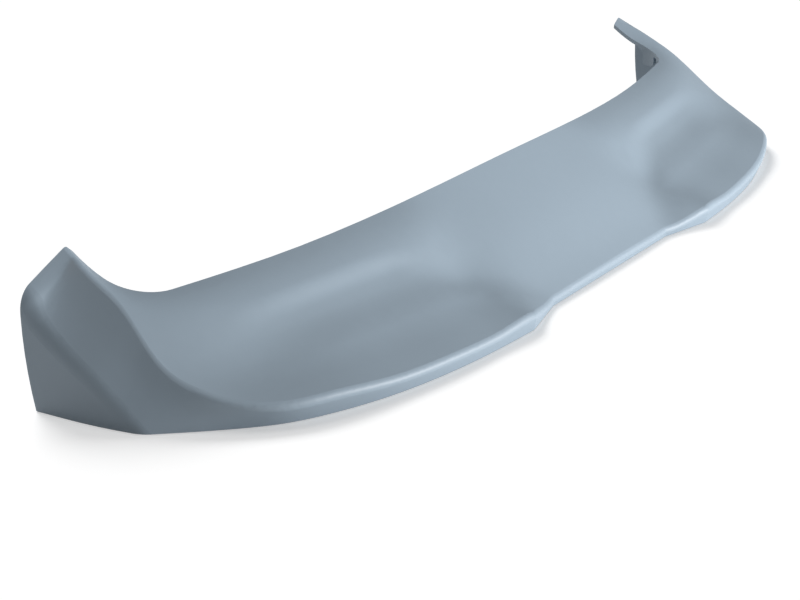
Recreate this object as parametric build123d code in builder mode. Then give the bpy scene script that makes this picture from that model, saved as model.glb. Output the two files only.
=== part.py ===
"""Roof spoiler for a hatchback: one moulded shell with horns, side skirts and a notched trailing lip.

Frame: X across the car, +Y towards the front of the car, +Z up. The rim of the spoiler lies on Z = 0
and the origin is the middle of the spoiler's box in plan. Millimetres.
A setback is a distance measured rearwards from the horn tips.
"""
import os
from math import cos, hypot, pi, radians, sin, sqrt, tan

from build123d import *

# Overall size
overall_width = 1190.0
overall_depth = 281.0
horn_height = 133.0

# Nose: the concave front edge, which follows the rear edge of the roof
nose_setback = 132.0
nose_height = 103.0
nose_radius = 2230.0
nose_sag = 10.5
nose_sag_run = 400.0
nose_slope = 0.62
horn_thickness = 6.0
horn_root_radius = 46.0
horn_shelf_slope = 0.25
horn_shelf_width = 100.0

# Ridge: the sharp line from a horn tip along the side to the rear corner
ridge_inset = 63.5
ridge_splay = 26.0
ridge_length = 175.0
ridge_drop = 106.0
ridge_bow = 10.0
ridge_run_in = 70.0
ridge_radius = 6.0

# Side skirts
flank_lean = 46.5
lean_power = 2.5
horn_lean = 18.5
horn_run = 45.0
front_rake = 9.0
front_bow = 6.0
front_corner_radius = 18.0
crease_radius = 20.0
rim_straight = 40.0
rim_side_power = 2.2
rim_rear_power = 3.5
skirt_radius = 420.0
skirt_turn = 38.0

# Trailing lip and its notch
lip_height = 17.0
lip_roundness = 2.75
lip_reach = 0.98
corner_height = 26.0
corner_run = 250.0
centre_lip_height = 8.0
lip_draft = 12.0
corner_draft = 29.0
notch_depth = 18.0
notch_half_width = 127.0
notch_step = 78.0

# Dishes: the two shallow scoops ahead of the outer lips
dish_half_width = 165.0
dish_blend = 40.0
dish_slope = 0.39
dish_step = 5.0
band_share = 0.36
band_width = 24.0

# Wall, front hem and locating lugs
wall = 4.0
hem_depth = 5.0
lug_setback = 50.0
lug_length = 18.0
lug_foot = 78.0
lug_radius = 6.0

# Room that the cutting bodies need beyond the shell
margin = 40.0
floor_margin = 150.0

# Where the lofts are cut, and how steep an edge counts as level or upright
deck_stations = 10
flank_stations = 5
flank_share = 0.7
corner_stations = 6
corner_start = radians(41)
ceiling_fall = 0.4
level_limit = 0.5
upright_limit = 0.99

half_width = overall_width / 2
ridge_half_width = half_width - ridge_inset
horn_gap = 2 * (ridge_half_width - horn_thickness)
deck_foot = -floor_margin
deck_drop = wall * sqrt(1 + nose_slope**2)


def aft(setback):
    """Y of a point that lies this far behind the horn tips."""
    return overall_depth / 2 - setback


def mix(a, b, share):
    return a + (b - a) * share


def ease(share):
    """Smooth step from 0 to 1."""
    share = min(max(share, 0.0), 1.0)
    return share * share * (3 - 2 * share)


def ridge_share(setback):
    """0 at the horn tip, 1 at the rear end of the ridge."""
    return min(max(setback / ridge_length, 0.0), 1.0)


def ridge_x(setback):
    """Half width of the ridge, which splays out behind the horn tip and then runs straight back."""
    return ridge_half_width + ridge_splay * (1 - (1 - ridge_share(setback)) ** 2)


def ridge_z(setback):
    """Height of the ridge: it bows up behind the horn tip and down ahead of the rear corner."""
    share = ridge_share(setback)
    bow = 4 * ridge_bow * share * (1 - share) * (1 - 2 * share)
    return horn_height - ridge_drop * setback / ridge_length + bow


def nose_at(x):
    """Setback and height of the front edge at this distance from the middle."""
    return nose_setback - x * x / (2 * nose_radius), nose_height - nose_sag * ease(x / nose_sag_run)


def lean_at(setback):
    """Lean of the flank from the vertical: greatest at the horn tip, none at the rear corner."""
    tip = 1 - min(max(setback / horn_run, 0.0), 1.0)
    return radians(flank_lean * (1 - ridge_share(setback) ** lean_power) + horn_lean * tip**2)


def rim_at(angle):
    """Half width and setback of the rim's rounded rear, and the way it faces. Angle 0 is the side."""
    depth = overall_depth - rim_straight
    across = max(cos(angle), 0.0) ** (2 / rim_rear_power)
    along = sin(angle) ** (2 / rim_side_power)
    side_way = rim_rear_power * across ** (rim_rear_power - 1) / half_width
    rear_way = rim_side_power * along ** (rim_side_power - 1) / depth
    size = hypot(side_way, rear_way)
    return (half_width * across, rim_straight + depth * along), (side_way / size, rear_way / size)


def draft_at(angle):
    """Undercut of the wall round the rear, which is greatest at the corner."""
    return radians(mix(corner_draft, lip_draft, ease((angle - corner_start) / (pi / 2 - corner_start))))


def wall_rulings(inset):
    """Straight lines up the outer wall, from a horn round to the rear: floor points and runs per height."""
    rulings = []
    for i in range(-1, flank_stations + 1):
        setback = flank_share * ridge_length * i / flank_stations
        lean = lean_at(setback)
        foot_x = ridge_x(setback) + ridge_z(setback) * tan(lean) - inset / cos(lean)
        rulings.append(((foot_x, setback), (-tan(lean), 0.0)))
    for i in range(corner_stations + 1):
        angle = mix(corner_start, pi / 2, i / corner_stations)
        (x, setback), (side_way, rear_way) = rim_at(angle)
        slope = tan(draft_at(angle))
        back = inset / cos(draft_at(angle))
        foot = (x - back * side_way, setback - back * rear_way)
        rulings.append((foot, (slope * side_way, slope * rear_way)))
    return rulings


def lip_at(x):
    """Setback and height of the upper edge of the trailing lip at this distance from the middle."""
    share = min(x / half_width, lip_reach)
    back = rim_straight + (overall_depth - rim_straight) * (1 - share**lip_roundness) ** (1 / lip_roundness)
    back += lip_height * tan(radians(lip_draft)) - notch_depth * (1 - dish_at(x))
    height = mix(centre_lip_height, lip_height, dish_at(x))
    return back, mix(height, corner_height, ease((x - half_width + corner_run + margin) / corner_run))


def dish_at(x):
    """0 on the raised middle of the deck, 1 over the dishes."""
    return ease((x - dish_half_width + dish_blend) / (2 * dish_blend))


def deck_profile(x):
    """Setbacks and heights of the deck's section at x, from ahead of the nose to behind the lip."""
    nose, nose_z = nose_at(x)
    lip, lip_z = lip_at(x)
    dish = dish_at(x)
    band = mix(nose, lip, band_share)
    foot = band + band_width / 2
    brow = band - band_width / 2
    chord = (nose_z - lip_z) / (lip - nose)
    foot_z = lip_z + mix(chord, dish_slope, dish) * (lip - foot)
    brow_z = mix(nose_z, foot_z, (brow - nose) / (foot - nose)) + dish_step * dish
    shelf = ease((x - ridge_half_width + ridge_run_in + horn_shelf_width) / horn_shelf_width)
    lead_z = nose_z + mix(nose_slope, horn_shelf_slope, shelf) * (nose + margin)
    return [(-margin, lead_z), (nose, nose_z), (brow, brow_z), (foot, foot_z), (lip, lip_z),
            (lip + margin, lip_z - dish_slope * margin)]


def section_points(x, drop):
    """Points of the deck's section at x, raised to the ridge beside the horns and skirts."""
    points = []
    for setback, z in deck_profile(x):
        run = max(0.0, (x - ridge_x(setback)) / ridge_run_in + 1)
        lift = run * run if run < 1 else 2 * run - 1
        points.append((aft(setback), mix(z, ridge_z(setback), lift) - drop))
    return points


def spaced_spline(points, spacing):
    """Spline through points, at the same shares of its length in every section."""
    return Edge.make_spline([Vector(*point) for point in points], parameters=spacing)


def section_spacing():
    """Shares of the section's depth at which its points lie, taken from the section over a dish."""
    setbacks = [s for s, z in deck_profile(dish_half_width + 2 * dish_blend)]
    return [(s - setbacks[0]) / (setbacks[-1] - setbacks[0]) for s in setbacks]


def deck_body(drop):
    """Everything under the deck, lofted from sections across the car. drop lowers the deck."""
    with BuildPart() as deck:
        for i in range(-deck_stations, deck_stations + 1):
            x = (half_width + margin / 4) * i / deck_stations
            with BuildSketch(Plane.YZ.offset(x)):
                with BuildLine():
                    points = section_points(abs(x), drop)
                    add(spaced_spline(points, section_spacing()))
                    Polyline(points[-1], (points[-1][0], deck_foot), (points[0][0], deck_foot), points[0])
                make_face()
        loft()
    return deck.part


def wall_points(inset, height, fall):
    """Points where the wall meets a plane of this height at the horn tips that falls towards the rear."""
    right = []
    for (x, setback), (run_x, run_back) in wall_rulings(inset):
        z = (height - fall * setback) / (1 + fall * run_back)
        right.append(Vector(x + run_x * z, aft(setback + run_back * z), z))
    return right + [Vector(-point.X, point.Y, point.Z) for point in reversed(right[:-1])]


def wall_body(inset):
    """Everything inside the outer wall: leaning flanks that twist into undercut corners and the lip."""
    middle = wall_points(0, lip_height, 0)
    runs = [0.0]
    for a, b in zip(middle, middle[1:]):
        runs.append(runs[-1] + (b - a).length)
    spacing = [run / runs[-1] for run in runs]
    ceiling = nose_height + ceiling_fall * nose_setback + margin / 4
    with BuildPart() as body:
        for height, fall in ((-margin / 2, 0), (ceiling, ceiling_fall)):
            level = Plane((0, aft(0), height), x_dir=(1, 0, 0), z_dir=(0, -fall, 1))
            with BuildSketch(level):
                with BuildLine():
                    points = [level.to_local_coords(point) for point in wall_points(inset, height, fall)]
                    add(spaced_spline([(point.X, point.Y) for point in points], spacing))
                    Line((points[-1].X, points[-1].Y), (points[0].X, points[0].Y))
                make_face()
        loft(ruled=True)
    return body.part


def skirt_body(inset):
    """Everything between the two skirts: straight at the front, then curving in to the rear corners."""
    side = half_width - inset
    radius = skirt_radius - inset
    turn = radians(skirt_turn)
    with BuildPart() as body:
        with BuildSketch(Plane.XY.offset(-margin)):
            with BuildLine():
                end = (side - radius * (1 - cos(turn)), aft(rim_straight + radius * sin(turn)))
                middle = (side - radius * (1 - cos(turn / 2)), aft(rim_straight + radius * sin(turn / 2)))
                Polyline((0, aft(-2 * margin)), (side, aft(-2 * margin)), (side, aft(rim_straight)))
                ThreePointArc((side, aft(rim_straight)), middle, end)
                Polyline(end, (0, end[1]), (0, aft(-2 * margin)))
            make_face()
            mirror(about=Plane.YZ)
        extrude(amount=2 * horn_height)
    return body.part


def notch_body(inset):
    """What the notch takes out of the middle of the trailing lip, behind two slanted steps."""
    with BuildPart() as notch:
        for z in (-1.5 * margin, 2 * horn_height + margin):
            shift = z * tan(radians(lip_draft)) - inset
            edge = aft(overall_depth + shift)
            floor = edge + notch_depth
            step = notch_step / notch_depth
            with BuildSketch(Plane.XY.offset(z)):
                with BuildLine():
                    Polyline((-notch_half_width - notch_step - step * margin, edge - margin),
                             (-notch_half_width, floor), (notch_half_width, floor),
                             (notch_half_width + notch_step + step * margin, edge - margin), close=True)
                make_face()
        loft(ruled=True)
    return notch.part


def on_crease(edge):
    """Whether this edge is the crease between a flank and the upright side of a skirt."""
    middle = edge @ 0.5
    at_side = abs(middle.X) > half_width - margin / 2 and middle.Y < aft(0)
    upright = abs((edge % 0.5).Z) > upright_limit
    return at_side and -margin / 4 < middle.Z and not upright


def on_brow(edge):
    """Whether this edge bounds the deck behind the nose: a ridge, or the top of the lip or its notch."""
    middle = edge @ 0.5
    behind_nose = middle.Y < aft(nose_setback) and 0 < middle.Z < nose_height
    return behind_nose and abs((edge % 0.5).Z) < level_limit


def envelope(inset, drop):
    """Outer form of the spoiler, or of its hollow where it is inset by the wall."""
    with BuildPart() as body:
        add(wall_body(inset))
        add(skirt_body(inset), mode=Mode.INTERSECT)
        add(deck_body(drop), mode=Mode.INTERSECT)
        add(notch_body(inset), mode=Mode.SUBTRACT)
        fillet(body.edges().filter_by(on_crease), crease_radius - inset)
        if inset == 0:
            fillet(body.edges().filter_by(on_brow), ridge_radius)
        split(bisect_by=Plane.XY, keep=Keep.TOP)
    return body.part


def nose_outline(inset):
    """Plan of the space ahead of the nose: an arc that turns into the straight inner sides of the horns."""
    gap = horn_gap / 2 + inset
    corner = nose_at(gap)[0] + inset
    with BuildSketch() as outline:
        with BuildLine():
            arc = ThreePointArc((-gap, aft(corner)), (0, aft(nose_setback + inset)), (gap, aft(corner)))
            Polyline(arc @ 1, (gap, overall_depth), (-gap, overall_depth), arc @ 0)
        make_face()
        roots = outline.vertices().sort_by(Axis.Y)[:2]
        fillet(roots, horn_root_radius - inset)
    return outline.sketch


with BuildPart() as outer:
    add(envelope(0, 0))
    with BuildSketch(Plane.YZ.offset(-overall_width)) as side_view:
        with BuildLine():
            middle = (aft(front_rake / 2 - front_bow), horn_height / 2)
            ThreePointArc((aft(front_rake), 0), middle, (aft(0), horn_height))
            behind = aft(2 * overall_depth)
            Polyline((aft(0), horn_height), (aft(0), 2 * horn_height), (behind, 2 * horn_height),
                     (behind, 0), (aft(front_rake), 0))
        make_face()
        toe = side_view.vertices().group_by(Axis.Z)[0].sort_by(Axis.Y)[-1]
        fillet(toe, front_corner_radius)
    extrude(amount=2 * overall_width, mode=Mode.INTERSECT)
    extrude(nose_outline(0), amount=2 * horn_height, mode=Mode.SUBTRACT)

with BuildPart() as hem:
    extrude(nose_outline(wall), amount=2 * horn_height)
    add(deck_body(hem_depth), mode=Mode.SUBTRACT)

with BuildPart() as lugs:
    with BuildSketch(Plane.YZ.offset(-half_width)) as tab:
        with Locations((aft(lug_setback), lug_foot + nose_height / 2)):
            Rectangle(lug_length, nose_height)
        fillet(tab.vertices().sort_by(Axis.Z)[:2], lug_radius)
    extrude(amount=overall_width)
    extrude(nose_outline(wall), amount=2 * horn_height, mode=Mode.INTERSECT)

with BuildPart() as hollow:
    add(envelope(wall, deck_drop))
    add(hem.part, mode=Mode.SUBTRACT)
    add(lugs.part, mode=Mode.SUBTRACT)

with BuildPart() as shell:
    add(outer.part)
    add(hollow.part, mode=Mode.SUBTRACT)

with BuildPart() as spoiler_shell:
    ends = shell.vertices().sort_by(Axis.Y)
    add(Pos(Y=-(ends[0].Y + ends[-1].Y) / 2) * shell.part)

spoiler_shell.part.label = "spoiler_shell"
os.makedirs("parts", exist_ok=True)
export_step(spoiler_shell.part, "parts/spoiler_shell.step")
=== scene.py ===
# %% [markdown]
# # A primed roof spoiler
# The spoiler is one moulded plastic shell, sprayed with blue-grey primer and laid on a white studio floor.
# Its shape is finished in CAD, in metres, so this lesson loads that shape and gives it a finish, a floor,
# lights and a camera.

# %% Load the CAD frame
import math

import bpy
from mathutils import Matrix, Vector

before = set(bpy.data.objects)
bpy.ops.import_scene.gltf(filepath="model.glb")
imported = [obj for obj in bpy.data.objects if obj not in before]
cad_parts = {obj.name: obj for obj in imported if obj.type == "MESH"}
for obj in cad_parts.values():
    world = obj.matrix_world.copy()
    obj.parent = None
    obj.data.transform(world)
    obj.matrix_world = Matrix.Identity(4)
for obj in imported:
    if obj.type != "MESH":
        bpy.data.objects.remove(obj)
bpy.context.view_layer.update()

# %% [markdown]
# A finish is a graph of shader nodes. Placed and linked one by one, even a simple graph takes a page.
# One small class wraps an output socket instead: sums, differences and products of sockets then read as
# ordinary maths and add their Math nodes themselves, and one method adds a node of any other kind.

# %% A socket that does maths
class Socket:
    """One output of a shader node, with operators that add Math nodes."""

    def __init__(self, tree, output):
        self.tree = tree
        self.output = output

    def node(self, kind, settings, inputs, out=0):
        """Adds a node of this kind and gives one of its outputs."""
        made = self.tree.nodes.new(kind)
        for name, value in settings.items():
            setattr(made, name, value)
        for name, value in inputs.items():
            if isinstance(value, Socket):
                self.tree.links.new(value.output, made.inputs[name])
            else:
                made.inputs[name].default_value = value
        return Socket(self.tree, made.outputs[out])

    def maths(self, operation, a, b):
        return self.node("ShaderNodeMath", {"operation": operation}, {0: a, 1: b})

    def feed(self, shader, name):
        self.tree.links.new(self.output, shader.inputs[name])

    def __add__(self, other):
        return self.maths("ADD", self, other)

    def __sub__(self, other):
        return self.maths("SUBTRACT", self, other)

    def __rsub__(self, other):
        return self.maths("SUBTRACT", other, self)

    def __mul__(self, other):
        return self.maths("MULTIPLY", self, other)

    def __rmul__(self, other):
        return self.maths("MULTIPLY", other, self)


print("socket class ready")

# %% [markdown]
# Every finish here starts in the same way: a new material and its Principled shader. The primer also needs
# Object coordinates for its patterns. They are metres on the part itself, so a pattern keeps its true size
# and stays on the surface when the part is turned or moved.

# %% A new material
def new_material(name):
    """A new material and its shader node."""
    material = bpy.data.materials.new(name)
    material.use_nodes = True
    return material, material.node_tree.nodes["Principled BSDF"]


def source(material, kind, name):
    """One output of a new node that has no inputs."""
    tree = material.node_tree
    return Socket(tree, tree.nodes.new(kind).outputs[name])


def noise(place, scale, detail):
    """Soft random values about 0.5, with this many lumps to the metre."""
    return place.node("ShaderNodeTexNoise", {}, {"Vector": place, "Scale": scale, "Detail": detail})


print("material helpers ready")

# %% [markdown]
# Primer is a thin sprayed coat of blue-grey paint. It is nearly matt, so the form reads from broad soft
# shading with a faint sheen towards the light. A spray gun lays it in overlapping passes, which leaves slow
# clouds of a slightly thicker or thinner film, and its droplets dry to a fine even pebble. One colour alone
# would look like raw plastic, so three noises of different size make the clouds, the mist and the pebble.

# %% Primer
film_colour = (0.290, 0.358, 0.422, 1.0)
bare_colour = (0.262, 0.326, 0.386, 1.0)
cloud_scale = 7.0
mist_scale = 90.0
droplet_scale = 900.0
cloud_share = 0.55
mist_share = 0.3
droplet_share = 0.15
bare_roughness = 0.56
film_sheen = 0.12
# Sockets of a colour Mix node: the factor, the two colours, and the result among its outputs
mix_factor, mix_first, mix_second, mix_result = 0, 6, 7, 2

primer, primer_shader = new_material("primer")
place = source(primer, "ShaderNodeTexCoord", "Object")
cloud = noise(place, cloud_scale, detail=2.0)
mist = noise(place, mist_scale, detail=3.0)
droplets = noise(place, droplet_scale, detail=2.0)
film = cloud_share * cloud + mist_share * mist + droplet_share * droplets
colours = {mix_factor: film, mix_first: bare_colour, mix_second: film_colour}
coat = place.node("ShaderNodeMix", {"data_type": "RGBA"}, colours, mix_result)
coat.feed(primer_shader, "Base Color")
roughness = bare_roughness - film_sheen * film
roughness.feed(primer_shader, "Roughness")
print("primer has", len(primer.node_tree.nodes), "nodes")

# %% [markdown]
# The deck is pressed down into a shallow dish on each side of the middle. On the real part a crisp fold runs
# along the front of each dish: the deck turns steep for a finger's width and then flattens at once. The CAD
# surface is softer there, so a bump sharpens the fold. Its height is in metres, and a bump only tilts the
# light on the surface, so the outline stays as the CAD has it. The same bump carries the paint's pebble.

# %% Folds of the dishes
# The fold runs forward by its slant for each metre outwards, from this far behind the origin
fold_setback = 0.064
fold_slant = 0.144
# The dish's inner end runs outwards by its slant for each metre forwards, from this far off the middle
inner_offset = 0.271
inner_slant = 1.1
# Where the bump fades in past the inner end, and where it fades out towards the side
inner_fade = (-0.034, 0.054)
outer_fade = (0.352, 0.528)
# Where the deck drops at the fold and rises behind it, and by how much
steep_run = (-0.0145, 0.0105)
steep_drop = 0.0036
flat_run = (-0.002, 0.056)
flat_rise = 0.0078
pebble_height = 0.00002


def step(value, run, rise=1.0):
    """A smooth rise from 0 at the start of the run to this height at its end."""
    limits = {"From Min": run[0], "From Max": run[1], "To Min": 0.0, "To Max": rise}
    smooth = {"interpolation_type": "SMOOTHERSTEP"}
    return place.node("ShaderNodeMapRange", smooth, {"Value": value, **limits})


x, along = [place.node("ShaderNodeSeparateXYZ", {}, {"Vector": place}, axis) for axis in ("X", "Y")]
across = place.maths("ABSOLUTE", x, 0.0)
behind = fold_slant * across - along - fold_setback
outside = across - inner_slant * along - inner_offset
dish = step(outside, inner_fade) * (1.0 - step(across, outer_fade))
shape = step(behind, flat_run, flat_rise) - step(behind, steep_run, steep_drop)
relief = dish * shape + pebble_height * droplets
fold = place.node("ShaderNodeBump", {}, {"Strength": 1.0, "Distance": 1.0, "Height": relief})
fold.feed(primer_shader, "Normal")
print("primer with its folds has", len(primer.node_tree.nodes), "nodes")

# %% [markdown]
# The CAD node already has the real shape, walls and hollow underside, so it stays as it is. Only its
# material slot changes: the plain colour that came with the file goes, and the primer takes its place.

# %% Dress the shell
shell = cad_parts["spoiler_shell"]
shell.data.materials.clear()
shell.data.materials.append(primer)
print("shell has", len(shell.data.polygons), "faces in", primer.name)

# %% [markdown]
# The spoiler lies on a large white sheet. More light would turn a grey sheet white, but it would bleach the
# spoiler too. So the sheet is a pale matt grey that the lamps leave short of white, and it adds a weak glow
# that only the camera and reflections see. Lit sheet and glow together come to white, and the soft shadow
# under the rim stays, because little more than the glow is left there.

# %% Floor
floor_size = 30.0
floor_height = -0.0005
sheet_colour = (0.75, 0.75, 0.75, 1.0)
sheet_roughness = 0.9
glow = 0.42

bpy.ops.mesh.primitive_plane_add(size=floor_size, location=(0, 0, floor_height))
floor = bpy.context.object
floor.name = "studio_floor"
sheet, sheet_shader = new_material("white_sheet")
sheet_shader.inputs["Base Color"].default_value = sheet_colour
sheet_shader.inputs["Roughness"].default_value = sheet_roughness
sheet_shader.inputs["Specular IOR Level"].default_value = 0.0
seen = source(sheet, "ShaderNodeLightPath", "Is Camera Ray")
for ray in ("Is Glossy Ray", "Is Transmission Ray"):
    seen = seen + source(sheet, "ShaderNodeLightPath", ray)
seen.feed(sheet_shader, "Emission Color")
sheet_shader.inputs["Emission Strength"].default_value = glow
floor.data.materials.append(sheet)
print("floor", floor.name, "glows", glow)

# %% [markdown]
# Studio light on such a part is a soft box, some fill from the white room and a lamp overhead. The fill
# comes from the world, evenly from all round. The soft box is a wide, low strip behind the trailing edge, so
# the lip is the brightest part, every slope of the deck shows, and the near skirt falls into shade.

# %% Fill and soft box
fill_colour = (1.0, 1.0, 1.0, 1.0)
fill_strength = 0.15
key_side = Vector((0.24, -0.95, 0.19)).normalized()
key_distance = 2.0
key_watts = 61.0
key_width = 1.4
key_height = 0.6


def lamp_object(name, kind, toward, strength):
    """A lamp of this kind that shines from the direction toward."""
    lamp = bpy.data.lights.new(name, kind)
    lamp.energy = strength
    light = bpy.data.objects.new(name, lamp)
    light.rotation_euler = Vector(toward).to_track_quat("Z", "Y").to_euler()
    bpy.context.scene.collection.objects.link(light)
    return light


world = bpy.data.worlds.new("studio")
bpy.context.scene.world = world
world.use_nodes = True
background = world.node_tree.nodes["Background"]
background.inputs["Color"].default_value = fill_colour
background.inputs["Strength"].default_value = fill_strength
key = lamp_object("key", "AREA", key_side, key_watts)
key.data.shape = "RECTANGLE"
key.data.size = key_width
key.data.size_y = key_height
key.location = key_distance * key_side
print("key stands at", [round(v, 2) for v in key.location])

# %% [markdown]
# A backdrop has a lamp of its own, so that it can be white while the part is lit as its paint needs. Light
# linking does the same here: the soft box leaves the sheet alone, and the sheet lamp lights nothing else.
# The part still stops the sheet lamp, which stands ahead of it, and that lays the soft shadow under the rim.
# The top lamp, high above, lights both and lifts the flatter parts of the deck.

# %% Top and backdrop lamps
top_side = (-0.07, 0.42, 0.91)
top_strength = 0.66
sheet_side = (0.37, 0.64, 0.67)
sheet_strength = 2.2
far_lamp_spread = math.radians(28.0)


def link_to_floor(light, state):
    """Links a lamp to the floor alone, or to everything but the floor."""
    group = bpy.data.collections.new(light.name + "_floor")
    group.objects.link(floor)
    group.collection_objects[0].light_linking.link_state = state
    light.light_linking.receiver_collection = group


top = lamp_object("top", "SUN", top_side, top_strength)
sheet_lamp = lamp_object("sheet_lamp", "SUN", sheet_side, sheet_strength)
for light in (top, sheet_lamp):
    light.data.angle = far_lamp_spread
link_to_floor(key, "EXCLUDE")
link_to_floor(sheet_lamp, "INCLUDE")
print("lights:", key.name, top.name, sheet_lamp.name, "and world", world.name)

# %% [markdown]
# The camera stands behind and to the left of the part, above it, with a long lens, so the far end is only a
# little smaller than the near one. A look direction turned into a rotation is easier to read than three
# angles. The Standard view shows colours about as they are written.

# %% Camera
sensor_mm = 36.0
lens_mm = 96.75
camera_place = (-1.880, -1.036, 0.721)
camera_look = (0.7986, 0.4960, -0.3410)

camera_data = bpy.data.cameras.new("camera")
camera_data.sensor_width = sensor_mm
camera_data.lens = lens_mm
camera = bpy.data.objects.new("camera", camera_data)
camera.location = camera_place
camera.rotation_euler = Vector(camera_look).to_track_quat("-Z", "Y").to_euler()
bpy.context.scene.collection.objects.link(camera)
bpy.context.scene.camera = camera
bpy.context.scene.view_settings.view_transform = "Standard"
print("camera at", [round(v, 3) for v in camera.location])
